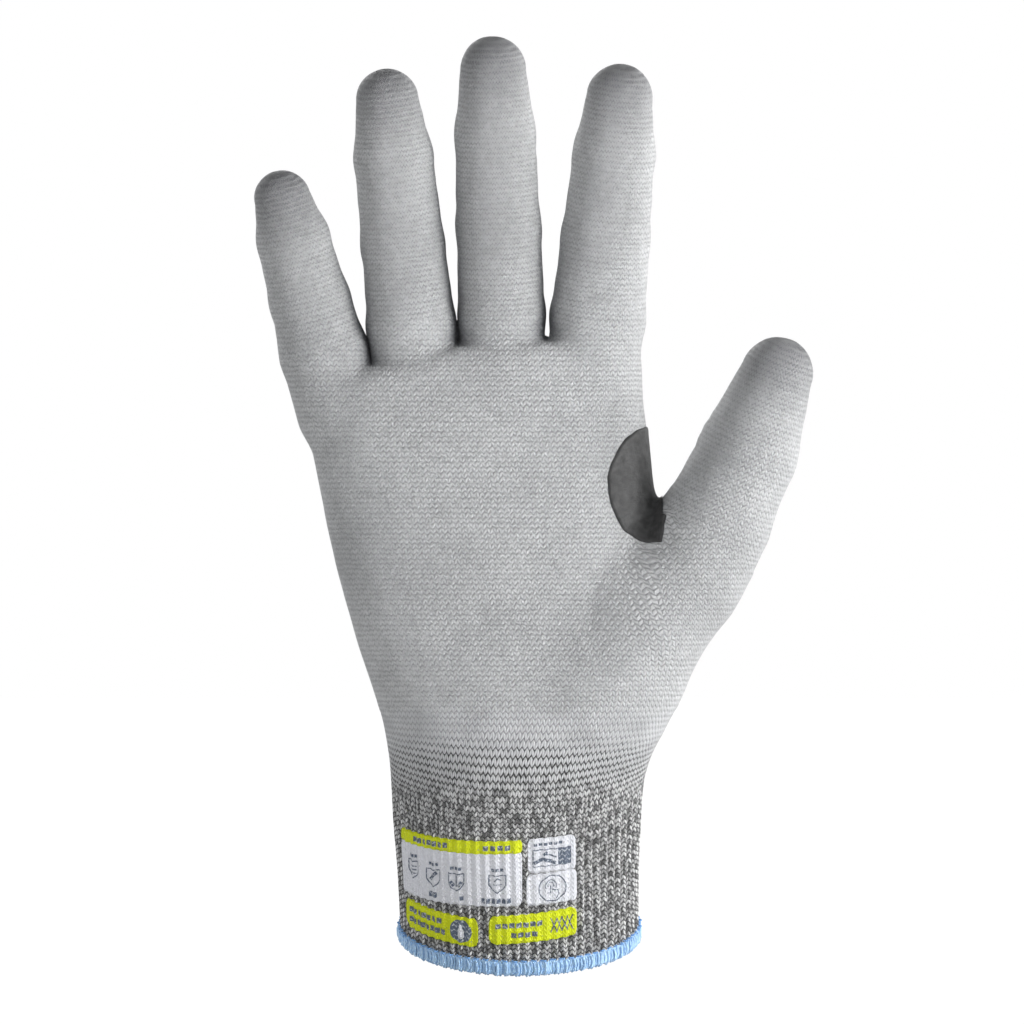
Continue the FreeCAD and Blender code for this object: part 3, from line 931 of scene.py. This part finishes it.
# the patch's straight edge below the crotch: where it is at a height, and its slope
CROTCH_HEIGHT, PATCH_EDGE, PATCH_EDGE_HEIGHT, PATCH_EDGE_SLOPE = 113.5, 37.9, 106.0, 0.16


def patch_share(p):
    """Above zero inside the patch's outline and below zero outside it."""
    x, z = p[:, 0], p[:, 2]
    width, height = PATCH_HALF_SIZE
    oval = 1 - np.hypot((x - PATCH_MIDDLE[0]) / width, (z - PATCH_MIDDLE[1]) / height)
    edge = (PATCH_EDGE - x + (z - PATCH_EDGE_HEIGHT) * PATCH_EDGE_SLOPE) / width
    return np.where(z < CROTCH_HEIGHT, np.minimum(oval, edge), np.where(x > 38.5, -1.0, oval))


def make_patch(name, region, hold):
    """Dipped black rubber over the crotch, thick and rounded at its edge, on one region's side."""
    near = (patch_share(skin) > -0.12)[skin_quads].all(1)
    surface = whole.subset(near & (face_region == region)).refined()
    share = patch_share(surface.points) + 0.035 * noise3(surface.points, 3.5, 11)
    thickness = -0.4 + 1.0 * smoothstep(-0.06, 0.03, share) + 0.12 * smoothstep(0.2, 0.0, share)
    thickness += 0.05 * noise3(surface.points, 2.0, 12)
    piece = surface.lifted(thickness).object(name, "black_rubber_patch", own_normals=True)
    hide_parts("thumb_crotch_patch")
    hold(piece)


make_patch("crotch_patch_palm_side", 0, ride_palm)
make_patch("crotch_patch_thumb_side", THUMB_NUMBER, lambda piece: bend(piece, THUMB, 0))


# ---- round the cuff
def on_cuff(angle, height, lift):
    """Points on the cuff's skin: the angle runs from the front line towards +X, the height up the cuff."""
    angle, height = np.broadcast_arrays(np.asarray(angle, float), np.asarray(height, float))
    lift = np.broadcast_to(lift, angle.shape).ravel()
    p = (CUFF_UP * height[..., None] + np.array([1.0, 0, 0]) * (CUFF_HALF_WIDTH * np.sin(angle))[..., None]
         + CUFF_FORWARD * (CUFF_HALF_DEPTH * np.cos(angle))[..., None]).reshape(-1, 3)
    for _ in range(2):
        normal, _ = field_slope(p)
        p = p - normal * glove_distance(p)[:, None]
    ribbed = trunk_relief(p) + rib_relief(p, trunk_stitches(p)) * 0.8
    return (p + normal * (ribbed + lift)[:, None]).reshape(angle.shape + (3,))


class Pile:
    """Collects grids of points into one mesh."""

    def __init__(self):
        self.points, self.quads = [], []

    def grid(self, points, closed=(False, False)):
        """points is a block of rows and columns; closed joins the last row or column to the first."""
        rows, columns = points.shape[:2]
        start = sum(len(p) for p in self.points)
        index = start + np.arange(rows * columns).reshape(rows, columns)
        if closed[0]:
            index = np.concatenate([index, index[:1]], 0)
        if closed[1]:
            index = np.concatenate([index, index[:, :1]], 1)
        self.points.append(points.reshape(-1, 3))
        corners = [index[:-1, :-1], index[1:, :-1], index[1:, 1:], index[:-1, 1:]]
        self.quads.append(np.stack(corners, 2).reshape(-1, 4))

    def tube(self, path, radius, sides=6, closed=False):
        """A round thread along a path; an open one has its ends drawn to a point."""
        ahead = np.roll(path, -1, 0) - np.roll(path, 1, 0)
        if not closed:
            ahead[0], ahead[-1] = path[1] - path[0], path[-1] - path[-2]
        ahead /= norm(ahead, axis=1, keepdims=True)
        side = np.cross(ahead, [0.31, 0.17, 0.93])
        side /= norm(side, axis=1, keepdims=True)
        top = np.cross(side, ahead)
        size = np.full(len(path), radius)
        if not closed:
            size[[0, -1]] = radius * 0.05
        turn = np.arange(sides) / sides * 2 * np.pi
        ring = side[:, None] * np.cos(turn)[:, None] + top[:, None] * np.sin(turn)[:, None]
        self.grid(path[:, None] + ring * size[:, None, None], (closed, True))

    def on_cuff(self, name, slot, *nodes):
        """Makes the mesh into a piece that rides on the cuff and replaces the named nodes."""
        points, quads = np.concatenate(self.points), np.concatenate(self.quads)
        values = {"stitch": as_vectors(trunk_stitches(points)), "coat": np.zeros(len(points))}
        piece = Surface(points, quads, points, values).object(name, slot, own_normals=True)
        if nodes:
            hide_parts(*nodes)
        ride_cuff(piece)


rng = random.Random(41)
LOOPS = 236
# the radius of the turn round the raw edge, and the share of the way where the turn starts and its length
EDGE_RADIUS, TURN_START, TURN_SHARE, FACE_RUN = 0.9, 0.4255, 0.149, 2.35
NEEDLE_STITCH = np.array([-0.55, 0.1, 0.32, 0.32, 0.1, -0.55])


def hem_section(angle, share, lift=0.0):
    """Points from the hem's top outside (share 0) round the raw edge to its top inside (share 1)."""
    share = np.asarray(share, float)
    outside = np.clip(1 - share * FACE_RUN, 0, 1)
    inside = np.clip((share - 0.575) * FACE_RUN, 0, 1)
    turn = np.clip((share - TURN_START) / TURN_SHARE, 0, 1) * np.pi
    height = EDGE_RADIUS + (HEM_HEIGHT - EDGE_RADIUS) * (outside + inside) - np.sin(turn) * EDGE_RADIUS
    depth = -(1 - np.cos(turn)) / 2 * (KNIT_WALL + EDGE_RADIUS)
    return on_cuff(angle, height, 0.42 + depth + lift * np.cos(turn))


def make_hem_band():
    band = Pile()
    angles = np.linspace(0, 2 * np.pi, 181)[:-1]
    a, share = np.meshgrid(angles, np.linspace(0, 1, 21), indexing="ij")
    edge = -0.9 * (np.abs(share - 0.5) > 0.47)
    band.grid(hem_section(a, share, edge), (True, False))
    band.on_cuff("hem_band", "hem_overlock_yarn", "cuff_hem_overlock")


def make_hem_loops():
    """Thick loops over the edge, then thin stray fibres across them."""
    loops = Pile()
    for i in range(LOOPS):
        lean = rng.uniform(0.010, 0.030)
        at = (i + rng.uniform(-0.3, 0.3)) / LOOPS * 2 * np.pi
        top, bottom = rng.uniform(-0.01, 0.05), rng.uniform(0.94, 1.0)
        share = np.linspace(top, bottom, 13)
        path = hem_section(at + lean * np.sin(share * 2 * np.pi), share, rng.uniform(0.10, 0.30))
        loops.tube(path, rng.uniform(0.26, 0.36), 5)
    for i in range(LOOPS // 2):
        at = (i + rng.uniform(-0.5, 0.5)) / LOOPS * 4 * np.pi
        share = np.linspace(rng.uniform(0.2, 0.34), rng.uniform(0.5, 0.62), 6)
        path = hem_section(at + np.linspace(0, rng.uniform(-0.06, 0.06), 6), share, rng.uniform(0.3, 0.5))
        loops.tube(path, 0.09, 4)
    loops.on_cuff("hem_overlock_loops", "hem_overlock_yarn")


def make_needle_stitches():
    thread = Pile()
    count = LOOPS // 3
    for i in range(count):
        a = (i + np.linspace(0.08, 0.80, 6)) / count * 2 * np.pi
        thread.tube(on_cuff(a, HEM_HEIGHT + 0.1 + rng.uniform(-0.1, 0.1), 0.45 + NEEDLE_STITCH), 0.24, 6)
    thread.on_cuff("hem_needle_stitches", "hem_needle_thread", "cuff_hem_needle_thread")


ELASTIC_ROUNDS, ELASTIC_LOWEST, ELASTIC_PITCH, ELASTIC_RADIUS = 8, 8.2, 4.4, 0.35


def make_elastic():
    rings = Pile()
    for i in range(ELASTIC_ROUNDS):
        a = np.arange(180) / 180 * 2 * np.pi
        height = ELASTIC_LOWEST + i * ELASTIC_PITCH + 0.18 * np.sin(a * 45 + i)
        rings.tube(on_cuff(a, height, -KNIT_WALL - 0.28 + 0.1 * np.cos(a * 90)), ELASTIC_RADIUS, 6, True)
    rings.on_cuff("elastic_rings", "elastic_yarn", "cuff_elastic_yarns")


make_hem_band()
make_hem_loops()
make_needle_stitches()
make_elastic()


# ---- transfer prints: drawn flat, then laid on the cuff
FILM_STEP, INK_STEP, INK_LIFT = 0.55, 0.6, 0.44
SHIELD_HALF_WIDTH, SHIELD_HEIGHT = 2.3, 5.2


class Print:
    """A printed panel. x and y run from its lower left corner, in millimetres."""

    def __init__(self, left, bottom, slope):
        self.left, self.bottom, self.slope = left, bottom, math.tan(math.radians(slope))
        self.film, self.ink = Pile(), Pile()

    def lay(self, x, y, lift):
        x, y = np.broadcast_arrays(np.asarray(x, float), np.asarray(y, float))
        return on_cuff((self.left + x) / CUFF_HALF_WIDTH, self.bottom + y + x * self.slope, lift)

    def panel(self, x, y, width, height, corner=1.3, lift=0.34):
        """A rounded rectangle of film with its edge sunk into the knit."""
        columns, rows = max(int(width / FILM_STEP), 6), max(int(height / FILM_STEP), 5)
        t = (1 - np.cos(np.linspace(0, np.pi, columns))) / 2
        t = 0.75 * np.linspace(0, 1, columns) + 0.25 * t
        across = t * width
        near = np.clip(corner - np.minimum(across, width - across), 0, corner)
        cut = corner - np.sqrt(np.maximum(corner ** 2 - near ** 2, 0))
        v = np.linspace(0, 1, rows)[None, :]
        yy = cut[:, None] + (height - 2 * cut[:, None]) * v
        xx = np.repeat(across[:, None], rows, 1)
        xx, yy = np.pad(xx, 1, mode="edge"), np.pad(yy, 1, mode="edge")
        depth = np.full(xx.shape, lift)
        depth[[0, -1]], depth[:, [0, -1]] = -0.5, -0.5
        self.film.grid(self.lay(x + xx, y + yy, depth)[::-1])

    def stroke(self, points, width, closed=False):
        """A line of ink through the points."""
        points = np.array(points, float)
        if closed:
            points = np.concatenate([points, points[:1]])
        steps = norm(np.diff(points, axis=0), axis=1)
        marks = np.concatenate([[0], np.cumsum(steps)])
        at = np.unique(np.concatenate([marks, np.arange(0, marks[-1], INK_STEP)]))
        line = np.stack([np.interp(at, marks, points[:, i]) for i in range(2)], 1)
        ahead = np.gradient(line, axis=0)
        if closed:
            ahead[0] = ahead[-1] = ahead[0] + ahead[-1]
        ahead /= np.maximum(norm(ahead, axis=1, keepdims=True), 1e-9)
        side = np.stack([-ahead[:, 1], ahead[:, 0]], 1)
        offsets = np.linspace(-width / 2, width / 2, max(int(width / INK_STEP), 1) + 1)
        flat = line[:, None] + side[:, None] * offsets[None, :, None]
        self.ink.grid(self.lay(flat[..., 0], flat[..., 1], INK_LIFT)[:, ::-1])

    def circle(self, x, y, radius, width, turn=(0, 360)):
        closed = turn == (0, 360)
        a = np.radians(np.linspace(*turn, 33))
        points = np.stack([x + radius * np.cos(a), y + radius * np.sin(a)], 1)
        self.stroke(points[:-1] if closed else points, width, closed)

    def bars(self, x, y, widths, height=1.2, gap=0.45):
        """A row of blank blocks where the object has words."""
        for width in widths:
            self.stroke([(x, y), (x + width, y)], height)
            x += width + gap

    def shield(self, x, y):
        w, h = SHIELD_HALF_WIDTH, SHIELD_HEIGHT
        side = [(w, h), (w, h * 0.45), (w * 0.62, h * 0.18)]
        rim = [(-w, h), (0, h - 0.3), *side, (0, 0), *[(-a, b) for a, b in side[:0:-1]]]
        self.stroke([(x + a, y + b) for a, b in rim], 0.32, True)

    def finish(self, kind, slot, part="panel"):
        self.film.on_cuff(f"{kind}_{part}", slot, f"{kind}_print_{part}")
        self.ink.on_cuff(f"{kind}_{part}_ink", "print_ink")


def print_rating():
    p = Print(-40.0, 17.8, 4.2)
    p.panel(0, 0, 40.6, 15.6)
    for x, top in ((6.2, 11.9), (14.6, 10.9), (22.2, 10.6), (34.0, 10.6)):
        p.bars(x - 1.7, top, (0.9, 0.9, 0.9), 0.9, 0.3)
        p.shield(x, top - 6.6)
    for k in range(3):
        p.stroke([(4.9, 8.9 - k), (7.5, 8.8 - k)], 0.34)
    p.stroke([(13.4, 6.2), (15.0, 8.0), (15.8, 8.6)], 1.0)
    p.stroke([(22.2, 8.6), (22.2, 5.2)], 0.4)
    for side in (-1, 1):
        p.stroke([(22.2 + side * 1.7, 6.8), (22.2 + side * 0.7, 5.4)], 0.9)
    p.stroke([(32.8, 6.4), (35.2, 6.4)], 0.3)
    p.stroke([(33.1, 7.3), (34.0, 8.2), (35.0, 7.5)], 0.3)
    p.bars(13.0, 2.0, (1.2, 1.2), 1.6)
    p.bars(23.4, 2.0, (1.0,), 1.2)
    p.bars(29.6, 1.6, (1.0,) * 6, 1.5, 0.4)
    p.finish("rating", "white_print")
    band = Print(-40.0, 33.0, 4.2)
    band.panel(0, 0, 40.6, 3.6, 0.8, 0.38)
    band.bars(6.5, 1.7, (1.4,) * 7, 1.5, 0.5)
    band.bars(30.0, 1.7, (1.4, 1.4, 1.4, 1.4), 1.4, 0.6)
    band.finish("rating", "yellow_print", "banner")


def print_impact():
    p = Print(2.1, 30.0, 1.5)
    p.panel(0, 0, 13.4, 9.8)
    p.bars(1.6, 8.2, (0.9,) * 6, 0.8, 0.5)
    p.stroke([(1.4, 1.9), (1.4, 6.6), (11.9, 6.6), (11.9, 1.9)], 0.28, True)
    p.stroke([(10.1, 1.9), (10.1, 6.6)], 3.5)
    p.stroke([(1.6, 3.0), (4.2, 3.9), (7.6, 2.6)], 1.0)
    p.stroke([(4.6, 5.4), (7.8, 4.3)], 0.45)
    p.stroke([(4.2, 5.0), (5.2, 6.0)], 0.7)
    p.finish("impact", "white_print")


def print_touch():
    p = Print(1.7, 20.6, 3.0)
    p.panel(0, 0, 14.1, 8.9)
    p.circle(7.1, 4.5, 3.7, 0.30)
    p.circle(6.6, 5.4, 1.5, 0.22, (-30, 210))
    p.circle(6.6, 5.4, 0.8, 0.22, (-30, 210))
    p.stroke([(6.6, 5.2), (6.6, 3.0), (5.7, 3.4)], 0.26)
    p.stroke([(6.9, 4.2), (8.6, 3.9), (8.9, 2.6), (8.0, 1.6)], 0.26)
    p.finish("touch", "white_print")


def print_material_note():
    p = Print(-39.0, 8.2, -1.0)
    p.panel(0, 0, 27.7, 8.2, 1.9)
    p.bars(2.8, 5.6, (1.5,) * 7, 1.5, 0.5)
    p.bars(2.8, 2.7, (1.5,) * 8, 1.5, 0.4)
    p.circle(22.6, 4.1, 1.65, 3.3)
    p.finish("material", "yellow_print")
    sign = Print(-39.0, 8.2, -1.0)
    sign.panel(21.7, 1.9, 1.8, 3.0, 0.5, 0.50)
    sign.panel(22.2, 4.5, 0.8, 1.6, 0.3, 0.52)
    sign.film.on_cuff("material_panel_bottle_sign", "white_print")


def print_fibre_note():
    p = Print(-8.3, 9.0, 5.0)
    p.panel(0, 0, 24.1, 8.2, 1.9)
    p.bars(1.8, 5.3, (1.4,) * 7, 1.4, 0.45)
    p.bars(6.0, 2.4, (1.4,) * 4, 1.4, 0.45)
    for k in range(4):
        left, right = 16.6 + k * 1.5, 18.3 + k * 1.5
        p.stroke([(left, 2.0), (right, 6.2)], 0.3)
        p.stroke([(right, 2.0), (left, 6.2)], 0.3)
    p.finish("fibre", "yellow_print")


print_rating()
print_impact()
print_touch()
print_material_note()
print_fibre_note()


# ---- floor, light and camera
def stage_object(thing):
    SCENE.collection.objects.link(thing)
    return thing


FLOOR_HALF_SIZE, FLOOR_HEIGHT = 9.0, -0.0104  # metres, as is all that follows
CAMERA_DISTANCE, SENSOR, VIEW_SIZE = 6.0, 36.0, 0.2726
CENTRE = (0.0, -0.02, 0.12)
# place, power and size of each lamp
LIGHTS = {
    "key": ((1.15, -0.75, 0.02), 34.0, 0.6),
    "fill": ((-0.9, -1.2, 0.0), 7.5, 0.7),
    "rim": ((1.1, 0.5, 0.5), 9.0, 0.8),
    "back": ((-0.6, 1.3, 0.9), 12.0, 0.9),
}


def make_floor():
    """A wide pale floor: nearly white, with only a faint contact shadow."""
    mesh = bpy.data.meshes.new("floor")
    size, z = FLOOR_HALF_SIZE, FLOOR_HEIGHT
    corners = [(-size, -size, z), (size, -size, z), (size, size, z), (-size, size, z)]
    mesh.from_pydata(corners, [], [(0, 1, 2, 3)])
    s = Shader(bpy.data.materials.new("floor"))
    glow = s.node("Emission", {"Color": grey(1.0), "Strength": 1.07})
    matt = s.node("BsdfDiffuse", {"Color": grey(0.86)})
    mesh.materials.append(s.output("OutputMaterial", s.seen_and_lit(0.95, matt, glow)))
    stage_object(bpy.data.objects.new("floor", mesh))


def make_light(name, where, power, size):
    data = bpy.data.lights.new(name, "AREA")
    data.energy, data.size = power, size
    lamp = stage_object(bpy.data.objects.new(name, data))
    lamp.location = where
    lamp.rotation_euler = (Vector(where) - Vector(CENTRE)).to_track_quat("Z", "Y").to_euler()


def make_world():
    s = Shader(bpy.data.worlds.new("studio"))
    soft = s.node("Background", {"Color": (0.97, 0.98, 1.0, 1), "Strength": 0.36})
    white = s.node("Background", {"Color": grey(1.0), "Strength": 1.0})
    SCENE.world = s.output("OutputWorld", s.seen_and_lit(1.0, soft, white))


def make_camera():
    data = bpy.data.cameras.new("photo_camera")
    data.sensor_width = SENSOR
    data.lens = SENSOR * CAMERA_DISTANCE / VIEW_SIZE
    camera = stage_object(bpy.data.objects.new("photo_camera", data))
    camera.location = (-0.0021, HAND_Y * MM - CAMERA_DISTANCE, 0.1140)
    camera.rotation_euler = (math.radians(90), 0, 0)
    SCENE.camera = camera


make_floor()
make_world()
for name, settings in LIGHTS.items():
    make_light(name, *settings)
make_camera()
SCENE.view_settings.view_transform = "Standard"
